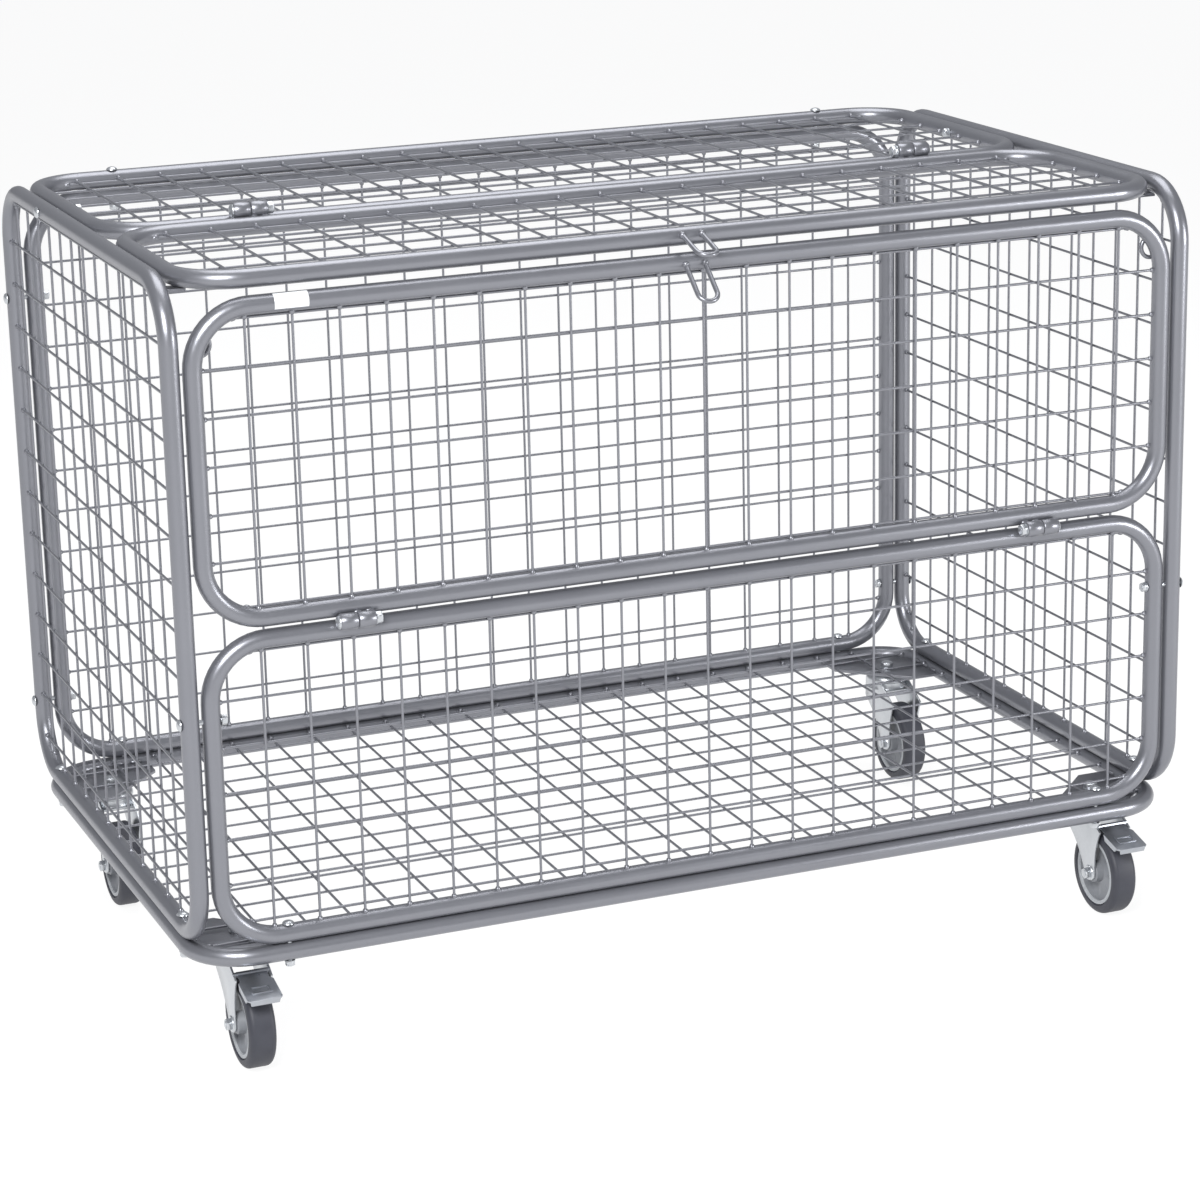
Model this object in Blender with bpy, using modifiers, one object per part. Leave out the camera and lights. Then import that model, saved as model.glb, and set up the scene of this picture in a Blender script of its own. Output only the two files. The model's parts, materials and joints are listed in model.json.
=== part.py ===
"""Roll cage container: tube frames with welded wire mesh, bolted together on four swivel castors.

The front half of the roof is a hinged lid and the upper half of the front is a hinged door.
Metres, +Z up, +X to the right along the front, -Y to the front, floor at z = 0.
"""

import math

import bmesh
import bpy
from mathutils import Matrix, Vector

# Overall sizes, taken over the outside of the tubes
LENGTH = 1.178
WIDTH = 0.690
FLAP_HEIGHT = 0.344  # outside height of the door and of the fixed panel under it
LID_SPLIT = 0.300  # front tube's centre to the line between the lid and the fixed roof panel

# Tube frames
TUBE_R = 0.010
TUBE_WALL = 0.0017
CORNER_R = 0.062  # on the tube's centreline
CORNER_STEPS = 3
SIDE_GAP = 0.003  # between the tubes of panels that stand side by side
SEAT_GAP = 0.0003  # between tubes that lie on each other
LID_SETBACK = 0.008
LID_RISE = 0.026  # lid tube's centre over the door's top tube's centre

# Mesh sheets: fewer and thicker square bars than the real round wires, for about the same weight
BAR = 0.005
ROW_PITCH = 0.100
ROW_DROP = 0.026  # tube's centre to the nearest row, clear of the nuts and of the bent corners
COLUMN_PITCH = 0.200
FIT = 0.0004  # clearance at a welded end

# Hinges
KNUCKLE_R = 0.009
KNUCKLE_LENGTH = 0.019
KNUCKLE_GAP = 0.0005
HINGE_X = 0.400
HINGE_CLEARANCE = 0.0007  # knuckle to the other panel's tube
PIN_R = 0.004

# Bolts
BOLT_R = 0.003
HOLE_CLEARANCE = 0.0009  # at the corners of the six-sided holes
HOLE_ROLL = math.radians(8)  # keeps a hole's edges off the tube's own edges
HEAD_R = 0.0065
HEAD_H = 0.0035
NUT_R = 0.0057
NUT_H = 0.007
HEAD_SEAT = 0.0003

# Hasps, eyelets and lid rests
ROD_R = 0.0028
HASP_X = -0.012
HASP_HALF = 0.011
HASP_REACH = 0.048
DOOR_HASP_DROP = 0.038
LID_HASP_DROP = 0.0165  # small, so that the door's top tube swings out under it
EYELET_R = 0.0115
EYELET_REACH = 0.017
EYELET_DROP = 0.060
REST_SIZE = (0.024, 0.020, 0.003)
REST_SETBACK = 0.050

# Castors
WHEEL_R = 0.050
TREAD_WIDTH = 0.030
HUB_R = 0.0395
WHEEL_SIDES = 24
CASTOR_HEIGHT = 0.135  # floor to the underside of the corner plate
CASTOR_INSET_X = 0.058  # base tube's centreline to the kingpin
CASTOR_INSET_Y = 0.072
TRAIL = 0.036
PLATE_T = 0.004
PLATE_REACH = 0.115
FORK_T = 0.0025
FORK_INNER = 0.0185  # half the room between the cheeks
HEAD_RADIUS = 0.027
HEAD_CAP_T = 0.005
CROWN_T = 0.003
KINGPIN_R = 0.005
AXLE_R = 0.004
RUNNING = 0.0003
PEDAL_LENGTH = 0.052
PEDAL_PIN_R = 0.003

# Levels and planes that follow from these
DEPTH = WIDTH - 2 * TUBE_R
END_X = LENGTH / 2 - TUBE_R
SIDE_X = END_X - 2 * TUBE_R - SIDE_GAP
PITCH_OVER = 2 * TUBE_R + SIDE_GAP
STACK = 2 * TUBE_R + SEAT_GAP
FRONT_Y = -(DEPTH + TUBE_R - HASP_REACH - ROD_R) / 2
BACK_Y = FRONT_Y + DEPTH
MID_Y = (FRONT_Y + BACK_Y) / 2
BASE_Z = CASTOR_HEIGHT + PLATE_T / 2
FOOT_Z = BASE_Z + STACK
LOWER_TOP_Z = FOOT_Z + FLAP_HEIGHT - 2 * TUBE_R
DOOR_FOOT_Z = LOWER_TOP_Z + PITCH_OVER
DOOR_TOP_Z = DOOR_FOOT_Z + FLAP_HEIGHT - 2 * TUBE_R
ROOF_Z = DOOR_TOP_Z + LID_RISE
SPLIT_Y = FRONT_Y + LID_SPLIT
HINGE_REACH = TUBE_R + KNUCKLE_R + HINGE_CLEARANCE
HINGE_OUT = math.sqrt(HINGE_REACH**2 - (PITCH_OVER / 2) ** 2)
DOOR_AXIS = Vector((0, FRONT_Y - HINGE_OUT, LOWER_TOP_Z + PITCH_OVER / 2))
LID_AXIS = Vector((0, SPLIT_Y, ROOF_Z + HINGE_OUT))

for old in list(bpy.data.objects):
    bpy.data.objects.remove(old)

PARTS = bpy.data.collections.new("roll_cage_container")
TOOLS = bpy.data.collections.new("cutters")
bpy.context.scene.collection.children.link(PARTS)
bpy.context.scene.collection.children.link(TOOLS)


def material(name, colour, roughness, metallic):
    made = bpy.data.materials.new(name)
    made.use_nodes = True
    shader = made.node_tree.nodes["Principled BSDF"]
    shader.inputs["Base Color"].default_value = (*colour, 1)
    shader.inputs["Roughness"].default_value = roughness
    shader.inputs["Metallic"].default_value = metallic
    return made


GREY_COAT = material("silver_grey_coat", (0.30, 0.31, 0.33), 0.42, 0.6)
ZINC = material("bright_zinc", (0.62, 0.64, 0.66), 0.32, 0.9)
TYRE_RUBBER = material("grey_rubber", (0.07, 0.07, 0.08), 0.6, 0.0)
HUB_PLASTIC = material("grey_plastic", (0.26, 0.27, 0.30), 0.45, 0.0)


def show(name, mesh, finish, parent=None):
    """A named part made of this mesh, which is in world coordinates."""
    mesh.name = name
    mesh.materials.clear()
    mesh.materials.append(finish)
    made = bpy.data.objects.new(name, mesh)
    PARTS.objects.link(made)
    if parent:
        made.parent = parent
        made.matrix_parent_inverse = parent.matrix_world.inverted()
    return made


def axis_empty(name, place):
    """An empty on a joint's axis, which carries the pieces that turn with it."""
    made = bpy.data.objects.new(name, None)
    made.location = place
    made.empty_display_size = 0.03
    PARTS.objects.link(made)
    bpy.context.view_layer.update()
    return made


def helper(name, mesh):
    mesh.name = name
    made = bpy.data.objects.new(name, mesh)
    made.display_type = "WIRE"
    made.hide_render = True
    TOOLS.objects.link(made)
    return made


def boolean(target, operation, tool):
    step = target.modifiers.new(tool.name, "BOOLEAN")
    step.operation = operation
    step.solver = "EXACT"
    step.object = tool


def joined(*meshes):
    """One mesh that holds all of these, which are used up."""
    bm = bmesh.new()
    for mesh in meshes:
        bm.from_mesh(mesh)
        bpy.data.meshes.remove(mesh)
    made = bpy.data.meshes.new("joined")
    bm.to_mesh(made)
    bm.free()
    return made


def smooth(mesh, degrees=40):
    mesh.shade_smooth()
    mesh.set_sharp_from_angle(angle=math.radians(degrees))
    return mesh


def swept(points, radius, resolution, cyclic=False, place=None):
    """A round rod or tube along these points, as a closed mesh."""
    curve = bpy.data.curves.new("path", "CURVE")
    curve.dimensions = "3D"
    curve.twist_mode = "MINIMUM"
    curve.bevel_depth = radius
    curve.bevel_resolution = resolution
    curve.use_fill_caps = not cyclic
    line = curve.splines.new("POLY")
    line.points.add(len(points) - 1)
    for point, where in zip(line.points, points):
        point.co = (*where, 1)
    line.use_cyclic_u = cyclic
    guide = bpy.data.objects.new("path", curve)
    bpy.context.scene.collection.objects.link(guide)
    graph = bpy.context.evaluated_depsgraph_get()
    mesh = bpy.data.meshes.new_from_object(guide.evaluated_get(graph))
    bpy.data.objects.remove(guide)
    bpy.data.curves.remove(curve)
    bm = bmesh.new()
    bm.from_mesh(mesh)
    bmesh.ops.remove_doubles(bm, verts=bm.verts, dist=1e-5)
    bmesh.ops.recalc_face_normals(bm, faces=bm.faces)
    if place:
        bm.transform(place)
    bm.to_mesh(mesh)
    bm.free()
    return mesh


def cylinder(start, end, radius, sides=12, roll=0.0):
    """A closed cylinder between two points."""
    start, end = Vector(start), Vector(end)
    turn = (end - start).to_track_quat("Z", "Y").to_matrix().to_4x4() @ Matrix.Rotation(roll, 4, "Z")
    bm = bmesh.new()
    bmesh.ops.create_cone(
        bm, cap_ends=True, segments=sides, radius1=radius, radius2=radius, depth=(end - start).length
    )
    bm.transform(Matrix.Translation((start + end) / 2) @ turn)
    mesh = bpy.data.meshes.new("cylinder")
    bm.to_mesh(mesh)
    bm.free()
    return mesh


def block(centre, size, turn=None):
    bm = bmesh.new()
    bmesh.ops.create_cube(bm, size=1)
    bmesh.ops.scale(bm, vec=size, verts=bm.verts)
    bm.transform(Matrix.Translation(centre) @ (turn or Matrix.Identity(4)))
    mesh = bpy.data.meshes.new("block")
    bm.to_mesh(mesh)
    bm.free()
    return mesh


def flat_plate(outline, holes, thickness, place):
    """A plate cut to an outline with holes, both as lists of 2D points, extruded about its mid plane."""
    curve = bpy.data.curves.new("outline", "CURVE")
    curve.dimensions = "2D"
    curve.fill_mode = "BOTH"
    curve.extrude = thickness / 2
    for ring in [outline, *holes]:
        line = curve.splines.new("POLY")
        line.points.add(len(ring) - 1)
        for point, (x, y) in zip(line.points, ring):
            point.co = (x, y, 0, 1)
        line.use_cyclic_u = True
    guide = bpy.data.objects.new("outline", curve)
    bpy.context.scene.collection.objects.link(guide)
    graph = bpy.context.evaluated_depsgraph_get()
    mesh = bpy.data.meshes.new_from_object(guide.evaluated_get(graph))
    bpy.data.objects.remove(guide)
    bpy.data.curves.remove(curve)
    bm = bmesh.new()
    bm.from_mesh(mesh)
    bmesh.ops.remove_doubles(bm, verts=bm.verts, dist=1e-6)
    bmesh.ops.recalc_face_normals(bm, faces=bm.faces)
    if bm.calc_volume(signed=True) < 0:
        bmesh.ops.reverse_faces(bm, faces=bm.faces)
    bm.transform(place)
    bm.to_mesh(mesh)
    bm.free()
    return mesh


def turned(profile, place, sides, first_angle=0.0):
    """A turned solid about local Z. The profile runs down its outer side, top to bottom, as (radius, z)."""
    bm = bmesh.new()
    line = [bm.verts.new((radius, 0, z)) for radius, z in profile]
    for a, b in zip(line, line[1:]):
        bm.edges.new((a, b))
    if profile[0][0] > 0:
        bm.edges.new((line[-1], line[0]))
    mesh = bpy.data.meshes.new("profile")
    bm.to_mesh(mesh)
    bm.free()
    guide = bpy.data.objects.new("profile", mesh)
    bpy.context.scene.collection.objects.link(guide)
    screw = guide.modifiers.new("turn", "SCREW")
    screw.steps = screw.render_steps = sides
    screw.use_merge_vertices = True
    screw.merge_threshold = 1e-5
    graph = bpy.context.evaluated_depsgraph_get()
    made = bpy.data.meshes.new_from_object(guide.evaluated_get(graph))
    bpy.data.objects.remove(guide)
    bm = bmesh.new()
    bm.from_mesh(made)
    bmesh.ops.remove_doubles(bm, verts=bm.verts, dist=1e-6)
    bmesh.ops.recalc_face_normals(bm, faces=bm.faces)
    bm.transform(place @ Matrix.Rotation(first_angle, 4, "Z"))
    bm.to_mesh(made)
    bm.free()
    return smooth(made)


def loop_points(width, height):
    """The centreline of a rounded rectangle that is centred on the origin of its own XY plane."""
    half_w, half_h = width / 2 - CORNER_R, height / 2 - CORNER_R
    corners = [(half_w, half_h, 0), (-half_w, half_h, 1), (-half_w, -half_h, 2), (half_w, -half_h, 3)]
    points = []
    for x, y, quarter in corners:
        for step in range(CORNER_STEPS + 1):
            angle = math.pi / 2 * (quarter + step / CORNER_STEPS)
            points.append((x + CORNER_R * math.cos(angle), y + CORNER_R * math.sin(angle), 0))
    return points


def tube_frame(name, width, height, place, welded_on, holes, parent=None):
    """A welded loop of round tube. What is welded on is joined before the bore is cut, and holes go through all."""
    points = loop_points(width, height)
    outer = smooth(swept(points, TUBE_R, 2, cyclic=True, place=place))
    bore = helper(name + "_bore", swept(points, TUBE_R - TUBE_WALL, 2, cyclic=True, place=place))
    frame = show(name, outer, GREY_COAT, parent)
    for number, mesh in enumerate(welded_on):
        boolean(frame, "UNION", helper(f"{name}_weld_{number}", mesh))
    boolean(frame, "DIFFERENCE", bore)
    if holes:
        boolean(frame, "DIFFERENCE", helper(name + "_holes", joined(*holes)))
    return frame


def reach(across, width, height):
    """How far a bar at this distance from the middle runs before it meets the inner side of the loop."""
    into_corner = across - (width / 2 - CORNER_R)
    if into_corner <= 0:
        return height / 2 - TUBE_R - FIT
    inner = CORNER_R * math.cos(math.pi / 4 / CORNER_STEPS) - TUBE_R - FIT
    return height / 2 - CORNER_R + math.sqrt(max(inner**2 - into_corner**2, 0))


def bars_down(height, first, spare):
    """Bar positions at the pitch, counted down from the first, which lies this far under the upper tube."""
    count = int((height - first - spare) / ROW_PITCH + 1e-6)
    return [height / 2 - first - ROW_PITCH * number for number in range(count, -1, -1)]


def centred_bars(length, pitch):
    """Bar positions at this pitch, centred, clear of the tubes at both ends."""
    count = int((length - CORNER_R - 0.003) / pitch)
    return [pitch * (number - count / 2) for number in range(count + 1)]


def mesh_sheet(name, width, height, place, parent=None, rows=None):
    """A flat lattice of bars inside a loop: a stub at each bar's end runs up to the tube."""
    half = BAR / 2
    columns = centred_bars(width, COLUMN_PITCH)
    rows = rows or bars_down(height, ROW_DROP, ROW_DROP)
    left, right, low, high = columns[0] - half, columns[-1] + half, rows[0] - half, rows[-1] + half
    outline = []
    low_stub = height / 2 - TUBE_R + rows[0] > BAR
    high_stub = height / 2 - TUBE_R - rows[-1] > BAR
    for x in columns:
        if low_stub:
            end = -reach(abs(x) + half, width, height)
            outline += [(x - half, low), (x - half, end), (x + half, end), (x + half, low)]
    if not low_stub:
        outline += [(left, low), (right, low)]
    for y in rows:
        end = reach(abs(y) + half, height, width)
        outline += [(right, y - half), (end, y - half), (end, y + half), (right, y + half)]
    for x in reversed(columns):
        if high_stub:
            end = reach(abs(x) + half, width, height)
            outline += [(x + half, high), (x + half, end), (x - half, end), (x - half, high)]
    for y in reversed(rows):
        end = -reach(abs(y) + half, height, width)
        outline += [(left, y + half), (end, y + half), (end, y - half), (left, y - half)]
    tidy = [point for point, before in zip(outline, outline[-1:] + outline[:-1]) if point != before]
    holes = []
    for x0, x1 in zip(columns, columns[1:]):
        for y0, y1 in zip(rows, rows[1:]):
            a, b, c, d = x0 + half, x1 - half, y0 + half, y1 - half
            holes.append([(a, c), (a, d), (b, d), (b, c)])
    return show(name, flat_plate(tidy, holes, BAR, place), GREY_COAT, parent)


def facing(centre, right, up):
    """A matrix that takes local X to right and local Y to up, about this centre."""
    right, up = Vector(right), Vector(up)
    turn = Matrix((right, up, right.cross(up))).transposed().to_4x4()
    return Matrix.Translation(centre) @ turn


def bolt(name, head, along, grip, shank_r=BOLT_R, head_r=HEAD_R, nut_r=NUT_R, nut_h=NUT_H, parent=None):
    """A dome-head bolt with its locknut. head is where the head seats, grip the length up to the nut."""
    direction = Vector(along).normalized()
    place = Matrix.Translation(head) @ (-direction).to_track_quat("Z", "Y").to_matrix().to_4x4()
    profile = [
        (0, HEAD_H),
        (head_r * 0.7, HEAD_H * 0.75),
        (head_r, 0),
        (shank_r, 0),
        (shank_r, -grip),
        (nut_r, -grip),
        (nut_r * 0.9, -grip - nut_h),
        (0, -grip - nut_h),
    ]
    return show(name, turned(profile, place, 8), ZINC, parent)


def hole(start, along, length, radius):
    start, along = Vector(start), Vector(along).normalized()
    return cylinder(start, start + along * length, radius, 6, HOLE_ROLL)


BOLTS = []
PAIR = STACK + 2 * TUBE_R + 2 * HEAD_SEAT
SIDE_PAIR = PITCH_OVER + 2 * TUBE_R + 2 * HEAD_SEAT


def plan_bolt(name, head, along, grip):
    """Books a panel bolt, and returns the hole that it needs through both tubes."""
    BOLTS.append((name, Vector(head), Vector(along), grip))


def bolt_holes(centre_line_points):
    """The holes of every booked bolt that passes within half a tube of one of these centres."""
    found = []
    for _, head, along, grip in BOLTS:
        along = along.normalized()
        for centre in centre_line_points:
            offset = Vector(centre) - head
            if (offset - offset.dot(along) * along).length < TUBE_R / 2 and -TUBE_R < offset.dot(along) < grip:
                start = Vector(centre) - along * (TUBE_R + 0.002)
                found.append(hole(start, along, 2 * TUBE_R + 0.004, BOLT_R + HOLE_CLEARANCE))
    return found


# Where the bolts are
FOOT_BOLT_X = SIDE_X - CORNER_R - 0.009  # on the straight, just short of the bend
END_FOOT_BOLT = CORNER_R + 0.010
REAR_BOLT_RISE = CORNER_R + 0.013
REAR_BOLT_DROP = 0.130
FRONT_BOLT_DROP = 0.080
ROOF_BOLT_X = 0.455
foot_head = FOOT_Z + TUBE_R + HEAD_SEAT
roof_head = ROOF_Z + TUBE_R + HEAD_SEAT
end_head = END_X + TUBE_R + HEAD_SEAT
side_levels = (
    ("rear_low", BACK_Y, FOOT_Z + REAR_BOLT_RISE),
    ("rear_high", BACK_Y, ROOF_Z - REAR_BOLT_DROP),
    ("front", FRONT_Y, LOWER_TOP_Z - FRONT_BOLT_DROP),
    ("roof", (SPLIT_Y + BACK_Y) / 2, ROOF_Z),
)
for side, sign in (("left", -1), ("right", 1)):
    plan_bolt(f"front_foot_bolt_{side}", (sign * FOOT_BOLT_X, FRONT_Y, foot_head), (0, 0, -1), PAIR)
    plan_bolt(f"back_foot_bolt_{side}", (sign * FOOT_BOLT_X, BACK_Y, foot_head), (0, 0, -1), PAIR)
    plan_bolt(f"roof_rear_bolt_{side}", (sign * ROOF_BOLT_X, BACK_Y, roof_head), (0, 0, -1), PAIR)
    for spot, y in (("front", FRONT_Y + END_FOOT_BOLT), ("rear", BACK_Y - END_FOOT_BOLT)):
        plan_bolt(f"{side}_end_foot_bolt_{spot}", (sign * END_X, y, foot_head), (0, 0, -1), PAIR)
    for spot, y, z in side_levels:
        plan_bolt(f"{side}_side_bolt_{spot}", (sign * end_head, y, z), (-sign, 0, 0), SIDE_PAIR)


def on_lines(*centres):
    return bolt_holes(centres)


def foot_centres(z, y):
    return [(sign * FOOT_BOLT_X, y, z) for sign in (-1, 1)]


# Base frame with its corner plates
def corner_plate(sign_x, sign_y):
    """A gusset in a corner of the base: its cut corner leaves a slot beside the bent tube."""
    weld = TUBE_R / 2
    corner_x, corner_y = END_X - weld, DEPTH / 2 - weld
    cut = CORNER_R * 0.75
    points = [
        (corner_x - cut, corner_y),
        (corner_x - PLATE_REACH, corner_y),
        (corner_x - PLATE_REACH, corner_y - PLATE_REACH * 0.35),
        (corner_x - PLATE_REACH * 0.35, corner_y - PLATE_REACH),
        (corner_x, corner_y - PLATE_REACH),
        (corner_x, corner_y - cut),
    ]
    outline = [(sign_x * x, MID_Y + sign_y * y) for x, y in points]
    return flat_plate(outline, [], PLATE_T, Matrix.Translation((0, 0, BASE_Z)))


CORNERS = {
    "front_left": (-1, -1),
    "front_right": (1, -1),
    "rear_left": (-1, 1),
    "rear_right": (1, 1),
}
KINGPINS = {
    name: Vector((sx * (END_X - CASTOR_INSET_X), MID_Y + sy * (DEPTH / 2 - CASTOR_INSET_Y), 0))
    for name, (sx, sy) in CORNERS.items()
}
end_foot_y = (FRONT_Y + END_FOOT_BOLT, BACK_Y - END_FOOT_BOLT)
base_holes = on_lines(
    *foot_centres(BASE_Z, FRONT_Y),
    *foot_centres(BASE_Z, BACK_Y),
    *[(sign * END_X, y, BASE_Z) for sign in (-1, 1) for y in end_foot_y],
)
for spot in KINGPINS.values():
    low = spot + Vector((0, 0, BASE_Z - PLATE_T))
    base_holes.append(hole(low, (0, 0, 1), 2 * PLATE_T, KINGPIN_R + HOLE_CLEARANCE))
tube_frame(
    "base_frame",
    2 * END_X,
    DEPTH,
    Matrix.Translation((0, MID_Y, BASE_Z)),
    [corner_plate(*signs) for signs in CORNERS.values()],
    base_holes,
)
floor_lift = PLATE_T / 2 + BAR / 2 + 0.0005
floor_place = Matrix.Translation((0, MID_Y, BASE_Z + floor_lift))
mesh_sheet("floor_mesh", 2 * END_X, DEPTH, floor_place, rows=centred_bars(DEPTH, ROW_PITCH))


# End panels, each with a rest for the lid
def lid_rest(sign):
    size = Vector(REST_SIZE)
    inner = END_X - TUBE_R - size.x / 2 + TUBE_WALL / 2
    top = ROOF_Z - TUBE_R - SEAT_GAP - size.z / 2
    plate = block((sign * inner, FRONT_Y + REST_SETBACK, top), size)
    web = block(
        (sign * (END_X - TUBE_R * 0.82), FRONT_Y + REST_SETBACK, top + TUBE_R * 0.1),
        (TUBE_R * 0.85, size.y - 0.0043, TUBE_R * 1.03),
    )
    return [plate, web]


end_height = ROOF_Z - FOOT_Z
for side, sign in (("left", -1), ("right", 1)):
    place = facing((sign * END_X, MID_Y, (ROOF_Z + FOOT_Z) / 2), (0, 1, 0), (0, 0, 1))
    end_holes = on_lines(
        *[(sign * END_X, y, FOOT_Z) for y in end_foot_y],
        *[(sign * END_X, y, z) for _, y, z in side_levels],
    )
    tube_frame(f"{side}_end_frame", DEPTH, end_height, place, lid_rest(sign), end_holes)
    mesh_sheet(f"{side}_end_mesh", DEPTH, end_height, place)

# Back panel, between the end panels
back_top = ROOF_Z - STACK
back_place = facing((0, BACK_Y, (back_top + FOOT_Z) / 2), (1, 0, 0), (0, 0, 1))
back_holes = on_lines(
    *foot_centres(FOOT_Z, BACK_Y),
    *[(sign * ROOF_BOLT_X, BACK_Y, back_top) for sign in (-1, 1)],
    *[(sign * SIDE_X, y, z) for sign in (-1, 1) for _, y, z in side_levels[:2]],
)
tube_frame("back_frame", 2 * SIDE_X, back_top - FOOT_Z, back_place, [], back_holes)
mesh_sheet("back_mesh", 2 * SIDE_X, back_top - FOOT_Z, back_place)


# Hinge knuckles
def knuckle_span(side, inner):
    """The X range of a knuckle. The inner one of each pair is nearer the middle of the cage."""
    start = KNUCKLE_GAP / 2
    low, high = (start, start + KNUCKLE_LENGTH) if inner else (-start - KNUCKLE_LENGTH, -start)
    return (HINGE_X - high, HINGE_X - low) if side > 0 else (-HINGE_X + low, -HINGE_X + high)


def knuckle(side, inner, axis, tube_centre):
    """A short barrel on the axis, with the bridge that is welded to its own panel's tube."""
    low, high = knuckle_span(side, inner)
    barrel = cylinder((low, axis.y, axis.z), (high, axis.y, axis.z), KNUCKLE_R, 10)
    towards = Vector((0, tube_centre[0] - axis.y, tube_centre[1] - axis.z))
    turn = Matrix.Rotation(math.atan2(towards.z, towards.y), 4, "X")
    bridge = block(
        Vector(((low + high) / 2, axis.y, axis.z)) + towards / 2,
        (KNUCKLE_LENGTH - 0.003, towards.length, 0.007),
        turn,
    )
    return [barrel, bridge]


def pin_holes(axis):
    found = []
    for side in (-1, 1):
        spans = [knuckle_span(side, inner) for inner in (True, False)]
        low, high = min(s[0] for s in spans) - 0.002, max(s[1] for s in spans) + 0.002
        found.append(hole((low, axis.y, axis.z), (1, 0, 0), high - low, PIN_R + HOLE_CLEARANCE))
    return found


def hinge_pin(name, side, axis):
    """The hinge's bolt: its dome head is on the outer side, its locknut on the inner."""
    spans = [knuckle_span(side, inner) for inner in (True, False)]
    low, high = min(s[0] for s in spans), max(s[1] for s in spans)
    head = high + HEAD_SEAT if side > 0 else low - HEAD_SEAT
    grip = high - low + 2 * HEAD_SEAT
    bolt(name, (head, axis.y, axis.z), (-side, 0, 0), grip, PIN_R, 0.0075, 0.0070, 0.0080)


def hasp(root_y, root_z, drop):
    """A U of rod that is welded to the tube at both ends and reaches forward and down."""
    tip_y, tip_z = FRONT_Y - HASP_REACH, root_z - drop
    bend = HASP_HALF
    back = Vector((0, root_y - tip_y, root_z - tip_z))
    straight = back * (1 - bend / back.length)
    start = Vector((HASP_X, root_y, root_z)) - straight
    points = [(HASP_X - HASP_HALF, root_y, root_z)]
    for step in range(7):
        angle = math.pi * step / 6
        out = -back.normalized() * (bend * math.sin(angle))
        points.append(tuple(start + out + Vector((-HASP_HALF * math.cos(angle), 0, 0))))
    points.append((HASP_X + HASP_HALF, root_y, root_z))
    return swept(points, ROD_R, 1)


def eyelet(sign):
    """A half ring of rod on the inner side of the door's side tube, just behind its middle plane."""
    y = FRONT_Y + TUBE_R * 0.75
    points = []
    for step in range(9):
        angle = math.pi * step / 8
        x = SIDE_X - TUBE_R * 0.5 - EYELET_REACH * math.sin(angle)
        points.append((sign * x, y, DOOR_TOP_Z - EYELET_DROP + EYELET_R * math.cos(angle)))
    return swept(points, ROD_R * 0.9, 1)


# Fixed front panel
front_place = facing((0, FRONT_Y, (LOWER_TOP_Z + FOOT_Z) / 2), (1, 0, 0), (0, 0, 1))
lower_on = []
for side in (-1, 1):
    lower_on += knuckle(side, False, DOOR_AXIS, (FRONT_Y, LOWER_TOP_Z))
front_holes = on_lines(
    *foot_centres(FOOT_Z, FRONT_Y),
    *[(sign * SIDE_X, FRONT_Y, side_levels[2][2]) for sign in (-1, 1)],
)
panel_height = LOWER_TOP_Z - FOOT_Z
tube_frame(
    "front_panel_frame", 2 * SIDE_X, panel_height, front_place, lower_on, front_holes + pin_holes(DOOR_AXIS)
)
mesh_sheet("front_panel_mesh", 2 * SIDE_X, panel_height, front_place)

# Front door, hinged at its foot
door_axis = axis_empty("door_axis", DOOR_AXIS)
door_place = facing((0, FRONT_Y, (DOOR_TOP_Z + DOOR_FOOT_Z) / 2), (1, 0, 0), (0, 0, 1))
door_hasp = hasp(FRONT_Y - TUBE_R * 0.3, DOOR_TOP_Z + TUBE_R * 0.4, DOOR_HASP_DROP)
door_on = [door_hasp, eyelet(-1), eyelet(1)]
for side in (-1, 1):
    door_on += knuckle(side, True, DOOR_AXIS, (FRONT_Y, DOOR_FOOT_Z))
vent = hole((SIDE_X * 0.5, FRONT_Y, DOOR_FOOT_Z + TUBE_R + 0.002), (0, 0, -1), TUBE_R, 0.002)
door_height = DOOR_TOP_Z - DOOR_FOOT_Z
tube_frame(
    "front_door_frame", 2 * SIDE_X, door_height, door_place, door_on, [vent, *pin_holes(DOOR_AXIS)], door_axis
)
mesh_sheet("front_door_mesh", 2 * SIDE_X, door_height, door_place, door_axis)

# Fixed roof panel at the rear
roof_front = SPLIT_Y + PITCH_OVER / 2
roof_place = Matrix.Translation((0, (roof_front + BACK_Y) / 2, ROOF_Z))
roof_on = []
for side in (-1, 1):
    roof_on += knuckle(side, False, LID_AXIS, (roof_front, ROOF_Z))
roof_holes = on_lines(
    *[(sign * ROOF_BOLT_X, BACK_Y, ROOF_Z) for sign in (-1, 1)],
    *[(sign * SIDE_X, side_levels[3][1], ROOF_Z) for sign in (-1, 1)],
)
roof_depth = BACK_Y - roof_front
tube_frame(
    "roof_panel_frame", 2 * SIDE_X, roof_depth, roof_place, roof_on, roof_holes + pin_holes(LID_AXIS)
)
mesh_sheet("roof_panel_mesh", 2 * SIDE_X, roof_depth, roof_place)

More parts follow.
